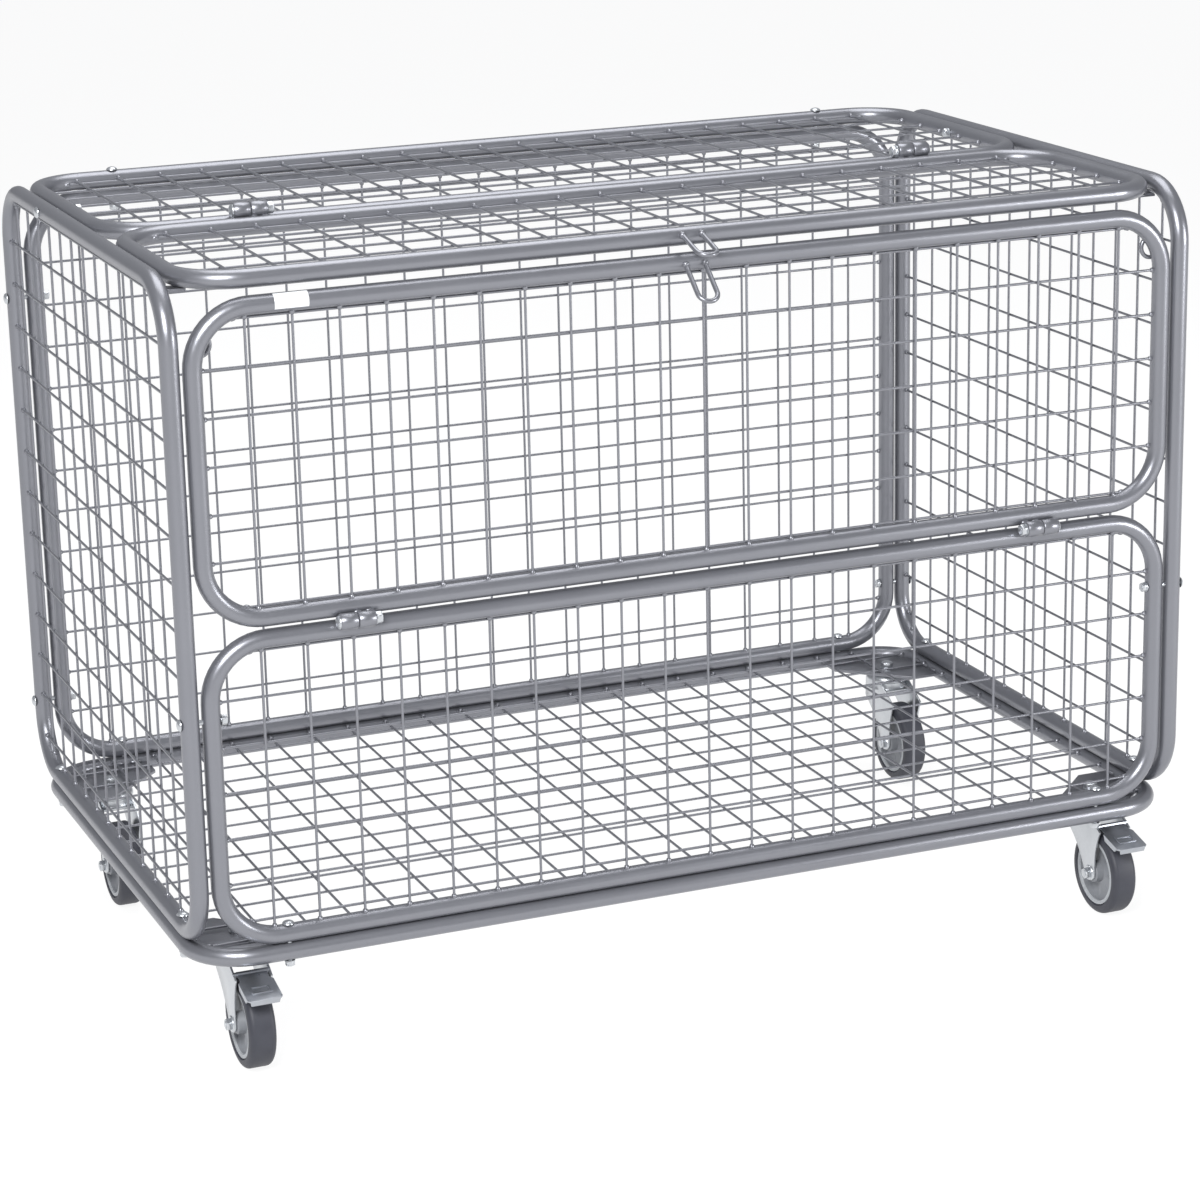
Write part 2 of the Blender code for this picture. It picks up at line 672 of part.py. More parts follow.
# Lid, hinged at its rear
lid_axis = axis_empty("lid_axis", LID_AXIS)
lid_rear = SPLIT_Y - PITCH_OVER / 2
lid_front = FRONT_Y + LID_SETBACK
lid_place = Matrix.Translation((0, (lid_front + lid_rear) / 2, ROOF_Z))
lid_on = [hasp(lid_front - TUBE_R * 0.3, ROOF_Z + TUBE_R * 0.5, LID_HASP_DROP)]
for side in (-1, 1):
    lid_on += knuckle(side, True, LID_AXIS, (lid_rear, ROOF_Z))
vent = hole((SIDE_X * 0.5, lid_front, ROOF_Z - TUBE_R - 0.002), (0, 0, 1), TUBE_R, 0.002)
lid_depth = lid_rear - lid_front
tube_frame("lid_frame", 2 * SIDE_X, lid_depth, lid_place, lid_on, [vent, *pin_holes(LID_AXIS)], lid_axis)
mesh_sheet("lid_mesh", 2 * SIDE_X, lid_depth, lid_place, lid_axis)

# Fasteners
for side, sign in (("left", -1), ("right", 1)):
    hinge_pin(f"door_hinge_bolt_{side}", sign, DOOR_AXIS)
    hinge_pin(f"lid_hinge_bolt_{side}", sign, LID_AXIS)
for name, head, along, grip in BOLTS:
    bolt(name, head, along, grip)


# Castors
def fork(name, kingpin, swivel, with_pedal):
    """A pressed fork: a turned swivel head with two cheeks that sweep back to the axle."""
    top = CASTOR_HEIGHT - SEAT_GAP
    bore = KINGPIN_R + RUNNING
    head_low = top - 0.018
    skirt = HEAD_RADIUS - 0.004
    profile = [
        (bore, top),
        (HEAD_RADIUS * 0.8, top),
        (HEAD_RADIUS, top - 0.006),
        (HEAD_RADIUS, head_low),
        (skirt, head_low),
        (skirt, top - HEAD_CAP_T),
        (bore, top - HEAD_CAP_T),
    ]
    head = turned(profile, Matrix.Translation((kingpin.x, kingpin.y, 0)), 16)
    body = show(name, head, ZINC, swivel)
    axle_y = kingpin.y - TRAIL
    boss = 0.010
    outline = [
        (kingpin.y + 0.020, top - 0.009),
        (kingpin.y - 0.026, top - 0.009),
        (axle_y - 0.022, WHEEL_R + 0.062),
        (axle_y - boss, WHEEL_R),
        (axle_y - boss * 0.6, WHEEL_R - boss * 0.8),
        (axle_y + boss * 0.6, WHEEL_R - boss * 0.8),
        (axle_y + boss, WHEEL_R),
        (kingpin.y + 0.022, WHEEL_R + 0.045),
    ]
    crown_low = head_low - CROWN_T + 0.0005
    crown = block(
        (kingpin.x, kingpin.y - 0.005, crown_low + CROWN_T / 2), (2 * FORK_INNER + FORK_T, 0.048, CROWN_T)
    )
    boolean(body, "UNION", helper(name + "_crown", crown))
    cutters = [
        hole((kingpin.x - 0.05, axle_y, WHEEL_R), (1, 0, 0), 0.1, AXLE_R + HOLE_CLEARANCE),
        hole((kingpin.x, kingpin.y, crown_low - 0.002), (0, 0, 1), CROWN_T + 0.004, 0.011),
    ]
    for sign in (-1, 1):
        x = kingpin.x + sign * (FORK_INNER + FORK_T / 2)
        cheek = flat_plate(outline, [], FORK_T, facing((x, 0, 0), (0, 1, 0), (0, 0, 1)))
        boolean(body, "UNION", helper(f"{name}_cheek_{sign}", cheek))
    if with_pedal:
        pivot = pedal_pivot(kingpin)
        cutters.append(hole((kingpin.x - 0.05, pivot.y, pivot.z), (1, 0, 0), 0.1, PEDAL_PIN_R + HOLE_CLEARANCE))
    boolean(body, "DIFFERENCE", helper(name + "_holes", joined(*cutters)))


def pedal_pivot(kingpin):
    return Vector((kingpin.x, kingpin.y - TRAIL - 0.012, WHEEL_R + 0.0595))


def brake_pedal(name, kingpin):
    """A foot lever on a cross pin in the fork: its plate slopes down in front of the wheel."""
    pivot = pedal_pivot(kingpin)
    carrier = axis_empty(name + "_axis", pivot)
    half = FORK_INNER + FORK_T
    pin = cylinder(pivot - Vector((half, 0, 0)), pivot + Vector((half, 0, 0)), PEDAL_PIN_R, 8)
    width = 2 * (FORK_INNER - 0.002)
    slope = math.radians(14)
    reach_out = Vector((0, -math.cos(slope), -math.sin(slope)))
    turn = Matrix.Rotation(slope, 4, "X")
    arm = block(pivot + reach_out * (PEDAL_LENGTH / 2), (width, PEDAL_LENGTH, 0.0025), turn)
    tread_length = PEDAL_LENGTH - 0.015
    tread = block(pivot + reach_out * (PEDAL_LENGTH - tread_length / 2), (0.046, tread_length, 0.0035), turn)
    pedal = show(name, pin, ZINC, carrier)
    boolean(pedal, "UNION", helper(name + "_arm", arm))
    boolean(pedal, "UNION", helper(name + "_tread", tread))


def castor(spot, kingpin, with_pedal):
    swivel = axis_empty(f"{spot}_swivel_axis", kingpin + Vector((0, 0, CASTOR_HEIGHT)))
    fork(f"{spot}_castor_fork", kingpin, swivel, with_pedal)
    nut_top = BASE_Z + PLATE_T / 2 + HEAD_SEAT
    nut_h, head_h = 0.009, 0.005
    pin_low = CASTOR_HEIGHT - SEAT_GAP - HEAD_CAP_T - HEAD_SEAT
    profile = [
        (0, nut_top + nut_h), (0.0060, nut_top + nut_h), (0.0085, nut_top + nut_h * 0.7),
        (0.0085, nut_top), (KINGPIN_R, nut_top), (KINGPIN_R, pin_low),
        (0.0085, pin_low), (0.0085, pin_low - head_h), (0, pin_low - head_h),
    ]
    show(f"{spot}_kingpin_bolt", turned(profile, Matrix.Translation(kingpin * 1), 8), ZINC)
    centre = Vector((kingpin.x, kingpin.y - TRAIL, WHEEL_R))
    along = Matrix.Translation(centre) @ Matrix.Rotation(math.pi / 2, 4, "Y")
    spin = axis_empty(f"{spot}_wheel_axis", centre)
    half_turn = math.pi / WHEEL_SIDES
    grow = 1 / math.cos(half_turn)
    half = TREAD_WIDTH / 2
    tyre = [
        (HUB_R * grow, half), (WHEEL_R * grow - 0.004, half), (WHEEL_R * grow, half - 0.005),
        (WHEEL_R * grow, -half + 0.005), (WHEEL_R * grow - 0.004, -half), (HUB_R * grow, -half),
    ]
    show(f"{spot}_tyre", turned(tyre, along, WHEEL_SIDES, half_turn), TYRE_RUBBER, spin)
    bore = AXLE_R + RUNNING
    rim = HUB_R * grow - SEAT_GAP
    boss_half = FORK_INNER - RUNNING
    hub = [
        (bore, boss_half), (0.012, boss_half), (rim - 0.007, 0.005), (rim, half - 0.001),
        (rim, -half + 0.001), (rim - 0.007, -0.005), (0.012, -boss_half), (bore, -boss_half),
    ]
    show(f"{spot}_wheel_hub", turned(hub, along, WHEEL_SIDES, half_turn), HUB_PLASTIC, spin)
    outer = FORK_INNER + FORK_T + HEAD_SEAT
    bolt(
        f"{spot}_axle_bolt", centre + Vector((outer, 0, 0)), (-1, 0, 0), 2 * outer, AXLE_R, 0.0075, 0.0070, 0.0075,
        parent=swivel,
    )
    if with_pedal:
        brake_pedal(f"{spot}_brake_pedal", kingpin)


for spot, kingpin in KINGPINS.items():
    castor(spot, kingpin, spot.startswith("front"))
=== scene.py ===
"""The looks of a roll cage container: coated tube frames, welded wire mesh and bright castors."""

import math

import bmesh
import bpy
from mathutils import Matrix, Vector
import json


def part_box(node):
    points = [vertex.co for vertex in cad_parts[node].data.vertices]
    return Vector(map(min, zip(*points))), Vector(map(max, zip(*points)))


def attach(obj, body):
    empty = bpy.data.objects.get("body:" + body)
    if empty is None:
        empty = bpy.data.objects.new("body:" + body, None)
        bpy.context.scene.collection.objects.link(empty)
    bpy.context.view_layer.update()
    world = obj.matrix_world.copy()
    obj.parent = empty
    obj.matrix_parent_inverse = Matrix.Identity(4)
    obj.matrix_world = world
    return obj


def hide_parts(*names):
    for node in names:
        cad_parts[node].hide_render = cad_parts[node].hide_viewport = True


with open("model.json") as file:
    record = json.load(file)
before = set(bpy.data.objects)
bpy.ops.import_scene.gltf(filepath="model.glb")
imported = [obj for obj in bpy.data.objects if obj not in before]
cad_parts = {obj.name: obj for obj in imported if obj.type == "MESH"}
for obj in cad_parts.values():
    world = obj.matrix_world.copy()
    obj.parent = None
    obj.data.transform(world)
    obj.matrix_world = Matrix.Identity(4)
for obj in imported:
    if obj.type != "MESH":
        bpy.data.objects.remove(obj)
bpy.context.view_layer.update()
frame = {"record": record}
joints = {joint["name"]: joint for joint in frame["record"]["behaviour"]["joints"]}
scene = bpy.context.scene


# Base frame: one loop of 20 mm steel tube, bent at the corners and butt welded, under a metallic
# grey powder coat. A 4 mm gusset is welded into each corner, with a slot beside the bend, and
# carries a castor.
TUBE = 0.010
BEND = 0.062
BEND_STEPS = 12
GUSSET = 0.004
GUSSET_REACH = 0.115
GUSSET_SLOT = 0.0465
STITCH = 0.022
COAT_GREY = (0.285, 0.290, 0.318)
COAT_DARK = (0.215, 0.220, 0.244)


class Link:
    """A socket whose arithmetic adds Math nodes to its own tree."""

    def __init__(self, socket):
        self.socket = socket

    def node(self, kind, settings, values, output=0):
        """Adds a node: its settings come first, then the values or links of its sockets."""
        tree = self.socket.id_data
        made = tree.nodes.new(kind)
        for name, value in settings.items():
            setattr(made, name, value)
        for name, value in values.items():
            if isinstance(value, Link):
                tree.links.new(value.socket, made.inputs[name])
            else:
                made.inputs[name].default_value = value
        return Link(made.outputs[output])

    def __add__(self, other):
        return self.node("ShaderNodeMath", {"operation": "ADD"}, {0: self, 1: other})

    def __mul__(self, other):
        return self.node("ShaderNodeMath", {"operation": "MULTIPLY"}, {0: self, 1: other})

    __radd__ = __add__
    __rmul__ = __mul__


def finish_on(name, settings):
    """A new Principled material, its shader and the Object coordinates that its patterns read."""
    made = bpy.data.materials.new(name)
    made.use_nodes = True
    shader = made.node_tree.nodes["Principled BSDF"]
    for socket, value in settings.items():
        shader.inputs[socket].default_value = value
    place = made.node_tree.nodes.new("ShaderNodeTexCoord").outputs["Object"]
    return made, shader, Link(place)


def drive(shader, socket, link):
    shader.id_data.links.new(link.socket, shader.inputs[socket])


def noise(place, scale, detail=2.0, rough=0.5):
    values = {"Vector": place, "Scale": scale, "Detail": detail, "Roughness": rough}
    return place.node("ShaderNodeTexNoise", {"noise_dimensions": "3D"}, values)


def blended(mask, low, high):
    values = {0: mask, 6: (*low, 1), 7: (*high, 1)}
    return mask.node("ShaderNodeMix", {"data_type": "RGBA"}, values, 2)


def bumped(shader, height, strength, distance):
    values = {"Height": height, "Strength": strength, "Distance": distance}
    drive(shader, "Normal", height.node("ShaderNodeBump", {}, values))


def powder_coat():
    made, shader, place = finish_on("silver_grey_coat", {"Metallic": 0.72})
    flake = noise(place, 2600.0, 1.0)
    peel = noise(place, 320.0, 2.0)
    cloud = noise(place, 9.0, 3.0)
    drive(shader, "Base Color", blended(cloud * 0.45 + flake * 0.55, COAT_DARK, COAT_GREY))
    drive(shader, "Roughness", 0.24 + peel * 0.10 + cloud * 0.08)
    bumped(shader, peel * 0.7 + flake * 0.3, 0.10, 0.0004)
    return made


coat = powder_coat()


def rod(bm, start, heading, radius, legs, sides=20, closed=False):
    """Runs a round rod: a number goes straight on, and (bend radius, degrees, axis) is a bend."""
    place, heading = Vector(start), Vector(heading).normalized()
    turn = Matrix.Translation(place) @ heading.to_track_quat("Z", "Y").to_matrix().to_4x4()
    ring = bmesh.ops.create_circle(bm, segments=sides, radius=radius, matrix=turn)["verts"]
    edges = list({edge for vert in ring for edge in vert.link_edges})
    if not closed:
        bmesh.ops.contextual_create(bm, geom=edges)
    for leg in legs:
        if isinstance(leg, tuple):
            bend, degrees, axis = leg
            axis = Vector(axis)
            angle = math.radians(degrees)
            centre = place + axis.cross(heading) * bend
            steps = max(2, round(degrees / 90 * BEND_STEPS))
            last = bmesh.ops.spin(bm, geom=edges, cent=centre, axis=axis, angle=angle, steps=steps)
            edges = [item for item in last["geom_last"] if isinstance(item, bmesh.types.BMEdge)]
            spun = Matrix.Rotation(angle, 3, axis)
            place = centre + spun @ (place - centre)
            heading = spun @ heading
        else:
            fresh = bmesh.ops.extrude_edge_only(bm, edges=edges)["geom"]
            verts = {item for item in fresh if isinstance(item, bmesh.types.BMVert)}
            edges = [
                item for item in fresh
                if isinstance(item, bmesh.types.BMEdge) and set(item.verts) <= verts
            ]
            bmesh.ops.translate(bm, vec=heading * leg, verts=list(verts))
            place = place + heading * leg
    if not closed:
        bmesh.ops.contextual_create(bm, geom=edges)


def piece(name, bm, finish, body, nodes=(), sharp=50):
    """Closes off a mesh as a smooth-shaded piece at the origin that rides on a body."""
    bmesh.ops.remove_doubles(bm, verts=bm.verts, dist=1e-6)
    bmesh.ops.recalc_face_normals(bm, faces=bm.faces)
    mesh = bpy.data.meshes.new(name)
    bm.to_mesh(mesh)
    bm.free()
    mesh.shade_smooth()
    mesh.set_sharp_from_angle(angle=math.radians(sharp))
    mesh.materials.append(finish)
    made = bpy.data.objects.new(name, mesh)
    scene.collection.objects.link(made)
    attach(made, body)
    if nodes:
        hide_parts(*nodes)
    return made


def loop(bm, width, height, place):
    """A bent tube frame about the origin of its own XY plane, moved to its place."""
    own = bmesh.new()
    across, along = width - 2 * BEND, height - 2 * BEND
    corner = (BEND, 90, (0, 0, 1))
    legs = [across, corner, along, corner, across, corner, along, corner]
    rod(own, (-across / 2, -height / 2, 0), (1, 0, 0), TUBE, legs, 24, closed=True)
    bmesh.ops.remove_doubles(own, verts=own.verts, dist=1e-5)
    own.transform(place)
    add_to(bm, own)


def add_to(bm, other):
    """Moves the other bmesh's shape into this one."""
    held = bpy.data.meshes.new("held")
    other.to_mesh(held)
    other.free()
    bm.from_mesh(held)
    bpy.data.meshes.remove(held)


def plate(bm, outline, thickness, place, edge=0.0006):
    """A flat piece cut to an outline in its own XY plane, with its edges eased."""
    own = bmesh.new()
    verts = [own.verts.new((x, y, -thickness / 2)) for x, y in outline]
    face = own.faces.new(verts)
    grown = bmesh.ops.extrude_face_region(own, geom=[face])["geom"]
    lifted = [item for item in grown if isinstance(item, bmesh.types.BMVert)]
    bmesh.ops.translate(own, vec=(0, 0, thickness), verts=lifted)
    bmesh.ops.recalc_face_normals(own, faces=own.faces)
    ease = {"segments": 2, "profile": 0.5, "affect": "EDGES", "material": -1}
    bmesh.ops.bevel(own, geom=own.edges, offset=edge, **ease)
    own.transform(place)
    add_to(bm, own)


def bead(bm, centre, along, length, radius):
    """A small weld bead: a squashed ball that lies along a seam."""
    turn = Vector(along).to_track_quat("X", "Z").to_matrix().to_4x4()
    size = Matrix.Diagonal((length, radius, radius, 1))
    bmesh.ops.create_uvsphere(
        bm, u_segments=8, v_segments=5, radius=1, matrix=Matrix.Translation(centre) @ turn @ size
    )


base_low, base_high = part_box("base_frame")
END_X = round(base_high[0] - TUBE, 4)
FRONT_Y = round(base_low[1] + TUBE, 4)
BACK_Y = round(base_high[1] - TUBE, 4)
MID_Y = (FRONT_Y + BACK_Y) / 2
BASE_Z = (base_low[2] + base_high[2]) / 2
CORNERS = [(sx, sy) for sx in (-1, 1) for sy in (-1, 1)]

bm = bmesh.new()
loop(bm, 2 * END_X, BACK_Y - FRONT_Y, Matrix.Translation((0, MID_Y, BASE_Z)))
for sx, sy in CORNERS:
    x, y = END_X - TUBE * 0.6, (BACK_Y - FRONT_Y) / 2 - TUBE * 0.6
    outline = [
        (x - GUSSET_SLOT, y), (x - GUSSET_REACH, y), (x - GUSSET_REACH, y - GUSSET_REACH * 0.35),
        (x - GUSSET_REACH * 0.35, y - GUSSET_REACH), (x, y - GUSSET_REACH), (x, y - GUSSET_SLOT),
    ]
    flat = [(sx * px, sy * py) for px, py in outline]
    plate(bm, flat if sx * sy > 0 else flat[::-1], GUSSET, Matrix.Translation((0, MID_Y, BASE_Z)))
    for stitch in range(3):
        back = GUSSET_SLOT + STITCH * stitch
        along_x = (sx * (END_X - back - 0.016), MID_Y + sy * (y - 0.004), BASE_Z + 0.0035)
        along_y = (sx * (x - 0.004), MID_Y + sy * (y - back - 0.012), BASE_Z + 0.0035)
        bead(bm, along_x, (1, 0, 0), 0.008, 0.0026)
        bead(bm, along_y, (0, 1, 0), 0.008, 0.0026)
piece("base_tube_and_gussets", bm, coat, "cage", ["base_frame"])


# Floor mesh: 3 mm wires at 50 mm, spot welded where they cross, laid on the gussets and welded to
# the tube at every end. Each wire is a plain round rod, coated after welding.
WIRE = 0.0015
PITCH = 0.050
FIRST_ROW = 0.0120
WELD = 0.0048
WELD_R = 0.0032


def wire(bm, start, end, radius=WIRE):
    start, end = Vector(start), Vector(end)
    turn = (end - start).to_track_quat("Z", "Y").to_matrix().to_4x4()
    bmesh.ops.create_cone(
        bm, cap_ends=True, segments=8, radius1=radius, radius2=radius,
        depth=(end - start).length, matrix=Matrix.Translation((start + end) / 2) @ turn,
    )


def half_run(across, width, height):
    """How far a wire this far from the middle runs before it meets the middle of the tube's wall."""
    into = across - (width / 2 - BEND)
    if into <= 0:
        return height / 2 - TUBE * 0.85
    return height / 2 - BEND + math.sqrt(max((BEND - TUBE * 0.85) ** 2 - into**2, 0))


def sheet(name, width, height, place, columns, rows, body, node):
    """A welded mesh in a frame: columns along local Y lie above the rows, which run along local X."""
    own = bmesh.new()
    for x in columns:
        end = half_run(abs(x), width, height)
        wire(own, (x, -end, WIRE), (x, end, WIRE))
        for sign in (-1, 1):
            bead(own, (x, sign * (end - 0.0008), WIRE), (0, 1, 0), WELD, WELD_R)
    for y in rows:
        end = half_run(abs(y), height, width)
        wire(own, (-end, y, -WIRE), (end, y, -WIRE))
        for sign in (-1, 1):
            bead(own, (sign * (end - 0.0008), y, -WIRE), (1, 0, 0), WELD, WELD_R)
    own.transform(place)
    return piece(name, own, coat, body, [node], sharp=80)


def centred(count):
    return [PITCH * (number - (count - 1) / 2) for number in range(count)]


def down_from(height, count, last=None):
    """Rows at the pitch, counted from the top, with another place for the lowest one if it needs it."""
    found = [height / 2 - FIRST_ROW - PITCH * number for number in range(count)]
    return found + ([-height / 2 + last] if last else [])


DEPTH = BACK_Y - FRONT_Y
floor_place = Matrix.Translation((0, MID_Y, BASE_Z + 0.0062))
sheet("floor_wires", 2 * END_X, DEPTH, floor_place, centred(21), centred(13), "cage", "floor_mesh")


# End panels: a loop of the same tube at each end, bolted to the base, its mesh welded inside. The
# crosswise wires lie outside. A small tab under the top tube carries the shut lid.
DOOR_AXIS = Vector(joints["front_door_hinge"]["pos_m"])
LID_AXIS = Vector(joints["lid_hinge"]["pos_m"])
PAIR_GAP = 0.023
FLAP = 0.324
SIDE_X = END_X - PAIR_GAP
LOWER_TOP_Z = DOOR_AXIS.z - PAIR_GAP / 2
FOOT_Z = LOWER_TOP_Z - FLAP
DOOR_FOOT_Z = LOWER_TOP_Z + PAIR_GAP
DOOR_TOP_Z = DOOR_FOOT_Z + FLAP
ROOF_Z = DOOR_TOP_Z + 0.026
REST_Y = FRONT_Y + 0.050
TAB_X, TAB_Y = 0.012, 0.010


def facing(centre, right, up):
    right, up = Vector(right), Vector(up)
    return Matrix.Translation(centre) @ Matrix((right, up, right.cross(up))).transposed().to_4x4()


end_height = ROOF_Z - FOOT_Z
for side, sign in (("left", -1), ("right", 1)):
    place = facing((sign * END_X, MID_Y, (ROOF_Z + FOOT_Z) / 2), (0, sign, 0), (0, 0, 1))
    bm = bmesh.new()
    loop(bm, DEPTH, end_height, place)
    tab = [(-TAB_X, -TAB_Y), (TAB_X, -TAB_Y), (TAB_X, TAB_Y), (-TAB_X, TAB_Y)]
    tab_place = Matrix.Translation((sign * (END_X - 0.0205), REST_Y, ROOF_Z - TUBE - 0.0019))
    plate(bm, tab, 0.003, tab_place)
    bead(bm, (sign * (END_X - 0.0095), REST_Y, ROOF_Z - 0.0105), (0, 1, 0), 0.008, 0.0022)
    piece(f"{side}_end_tube", bm, coat, "cage", [f"{side}_end_frame"])
    rows = down_from(end_height, 14)
    turned = facing((sign * END_X, MID_Y, (ROOF_Z + FOOT_Z) / 2), (0, -sign, 0), (0, 0, 1))
    name, node = f"{side}_end_wires", f"{side}_end_mesh"
    sheet(name, DEPTH, end_height, turned, centred(13), rows, "cage", node)


# Back panel: a wide loop between the end panels, bolted to the base, the ends and the roof.
back_top = ROOF_Z - 2 * TUBE - 0.0003
back_place = facing((0, BACK_Y, (back_top + FOOT_Z) / 2), (1, 0, 0), (0, 0, 1))
bm = bmesh.new()
loop(bm, 2 * SIDE_X, back_top - FOOT_Z, back_place)
piece("back_tube", bm, coat, "cage", ["back_frame"])
back_rows = [y - 0.010 for y in down_from(back_top - FOOT_Z, 14)]
sheet(
    "back_wires", 2 * SIDE_X, back_top - FOOT_Z, back_place,
    centred(21), back_rows, "cage", "back_mesh",
)


# Fixed front panel: the lower half of the front, with the outer barrels of the door's hinges. A
# hinge is two short barrels on one bolt, turned from bar, each welded to its own panel's tube.
BARREL = 0.0089
BARREL_LENGTH = 0.019
BARREL_GAP = 0.00025
HINGE_X = 0.400


def turned_solid(bm, profile, place, steps=32):
    """Spins a half profile of (radius, height) about local Z; a radius of 0 closes an end."""
    own = bmesh.new()
    verts = [own.verts.new((radius, 0, height)) for radius, height in profile]
    edges = [own.edges.new(pair) for pair in zip(verts, verts[1:])]
    whole = {"cent": (0, 0, 0), "axis": (0, 0, 1), "angle": math.tau, "use_merge": True}
    bmesh.ops.spin(own, geom=verts + edges, steps=steps, **whole)
    bmesh.ops.remove_doubles(own, verts=own.verts, dist=1e-6)
    bmesh.ops.recalc_face_normals(own, faces=own.faces)
    own.transform(place)
    add_to(bm, own)


def pointing(centre, along):
    return Matrix.Translation(centre) @ Vector(along).to_track_quat("Z", "Y").to_matrix().to_4x4()


def barrels(bm, axis, tube_y, tube_z, inner):
    """The two barrels of one panel, each with two weld beads set part way from its axis to its tube."""
    for side in (-1, 1):
        middle = side * (HINGE_X + (BARREL_GAP + BARREL_LENGTH / 2) * (-1 if inner else 1))
        half, ease = BARREL_LENGTH / 2, 0.0010
        profile = [
            (0.0043, half), (BARREL - ease, half), (BARREL, half - ease),
            (BARREL, -half + ease), (BARREL - ease, -half), (0.0043, -half), (0.0043, half),
        ]
        turned_solid(bm, profile, pointing((middle, axis.y, axis.z), (1, 0, 0)))
        towards = Vector((0, tube_y - axis.y, tube_z - axis.z))
        seat = Vector((middle, axis.y, axis.z)) + towards * 0.52
        for end in (-1, 1):
            seam = seat + Vector((end * 0.0065, 0, 0))
            bead(bm, seam, (1, 0, 0), 0.0055, 0.0034)


front_height = LOWER_TOP_Z - FOOT_Z
front_place = facing((0, FRONT_Y, (LOWER_TOP_Z + FOOT_Z) / 2), (1, 0, 0), (0, 0, 1))
bm = bmesh.new()
loop(bm, 2 * SIDE_X, front_height, front_place)
barrels(bm, DOOR_AXIS, FRONT_Y, LOWER_TOP_Z, inner=False)
piece("front_panel_tube", bm, coat, "cage", ["front_panel_frame"])
rows = down_from(front_height, 6, last=0.0185)
sheet(
    "front_panel_wires", 2 * SIDE_X, front_height, front_place,
    centred(21), rows, "cage", "front_panel_mesh",
)


# Front door: the upper half of the front, which folds down. It carries a rod hasp under the
# lid's, two small eyelets on its side tubes, and a bare label on its top tube.
ROD = 0.0027
HASP_X = -0.012
HASP_HALF = 0.011
HASP_REACH = 0.048


def hasp(bm, root_y, root_z, drop):
    """A U of 5.5 mm rod, welded to the tube at both ends."""
    root = Vector((HASP_X - HASP_HALF, root_y, root_z))
    tip = Vector((HASP_X - HASP_HALF, FRONT_Y - HASP_REACH, root_z - drop))
    heading = (tip - root).normalized()
    straight = (tip - root).length - HASP_HALF
    turn = heading.cross(Vector((1, 0, 0))).normalized()
    rod(bm, root, heading, ROD, [straight, (HASP_HALF, 180, turn), straight], 12)
    for side in (-1, 1):
        foot = root + heading * 0.0085 + Vector((HASP_HALF * (1 + side), 0, 0))
        bead(bm, foot, heading, 0.0036, 0.0042)


door_height = DOOR_TOP_Z - DOOR_FOOT_Z
door_place = facing((0, FRONT_Y, (DOOR_TOP_Z + DOOR_FOOT_Z) / 2), (1, 0, 0), (0, 0, 1))
bm = bmesh.new()
loop(bm, 2 * SIDE_X, door_height, door_place)
barrels(bm, DOOR_AXIS, FRONT_Y, DOOR_FOOT_Z, inner=True)
hasp(bm, FRONT_Y - TUBE * 0.3, DOOR_TOP_Z + TUBE * 0.4, 0.038)
for side in (-1, 1):
    top = Vector((side * (SIDE_X - TUBE * 0.5), FRONT_Y + 0.0075, DOOR_TOP_Z - 0.060 + 0.0115))
    legs = [0.005, (0.0115, 180, (0, side, 0)), 0.005]
    rod(bm, top, (-side, 0, 0), 0.0024, legs, 12)
piece("front_door_tube", bm, coat, "door", ["front_door_frame"])
rows = down_from(door_height, 7)
sheet("front_door_wires", 2 * SIDE_X, door_height, door_place, centred(21), rows, "door", "front_door_mesh")

LABEL_X = -0.452
LABEL_LENGTH = 0.036


def label_film():
    made, shader, place = finish_on("label_film", {"Metallic": 0.0})
    paper = noise(place, 400.0)
    drive(shader, "Base Color", blended(paper, (0.74, 0.76, 0.77), (0.80, 0.82, 0.83)))
    drive(shader, "Roughness", 0.32 + paper * 0.08)
    return made


bm = bmesh.new()
skin = pointing((LABEL_X, FRONT_Y, DOOR_TOP_Z), (1, 0, 0))
label_r = TUBE + 0.00012
bmesh.ops.create_cone(
    bm, cap_ends=False, segments=48, radius1=label_r, radius2=label_r, depth=LABEL_LENGTH, matrix=skin
)
label_middle = Vector((LABEL_X, FRONT_Y, DOOR_TOP_Z))
faced = Vector((0, -0.94, 0.34))
hidden = [
    face for face in bm.faces
    if (face.calc_center_median() - label_middle).normalized().dot(faced) < 0.62
]
bmesh.ops.delete(bm, geom=hidden, context="FACES")
bmesh.ops.solidify(bm, geom=bm.faces[:], thickness=-0.00015)
piece("bare_label", bm, label_film(), "door")


# Roof: a fixed rear panel that lies on the back panel's top tube, and the lid in front of it, which
# hinges on it. Both are loops of the same coated tube with the same welded mesh.
SPLIT_Y = LID_AXIS.y
roof_front = SPLIT_Y + PAIR_GAP / 2
roof_depth = BACK_Y - roof_front
roof_place = Matrix.Translation((0, (roof_front + BACK_Y) / 2, ROOF_Z))
bm = bmesh.new()
loop(bm, 2 * SIDE_X, roof_depth, roof_place)
barrels(bm, LID_AXIS, roof_front, ROOF_Z, inner=False)
piece("roof_panel_tube", bm, coat, "cage", ["roof_panel_frame"])
rows = down_from(roof_depth, 7)
sheet(
    "roof_panel_wires", 2 * SIDE_X, roof_depth, roof_place,
    centred(21), rows, "cage", "roof_panel_mesh",
)

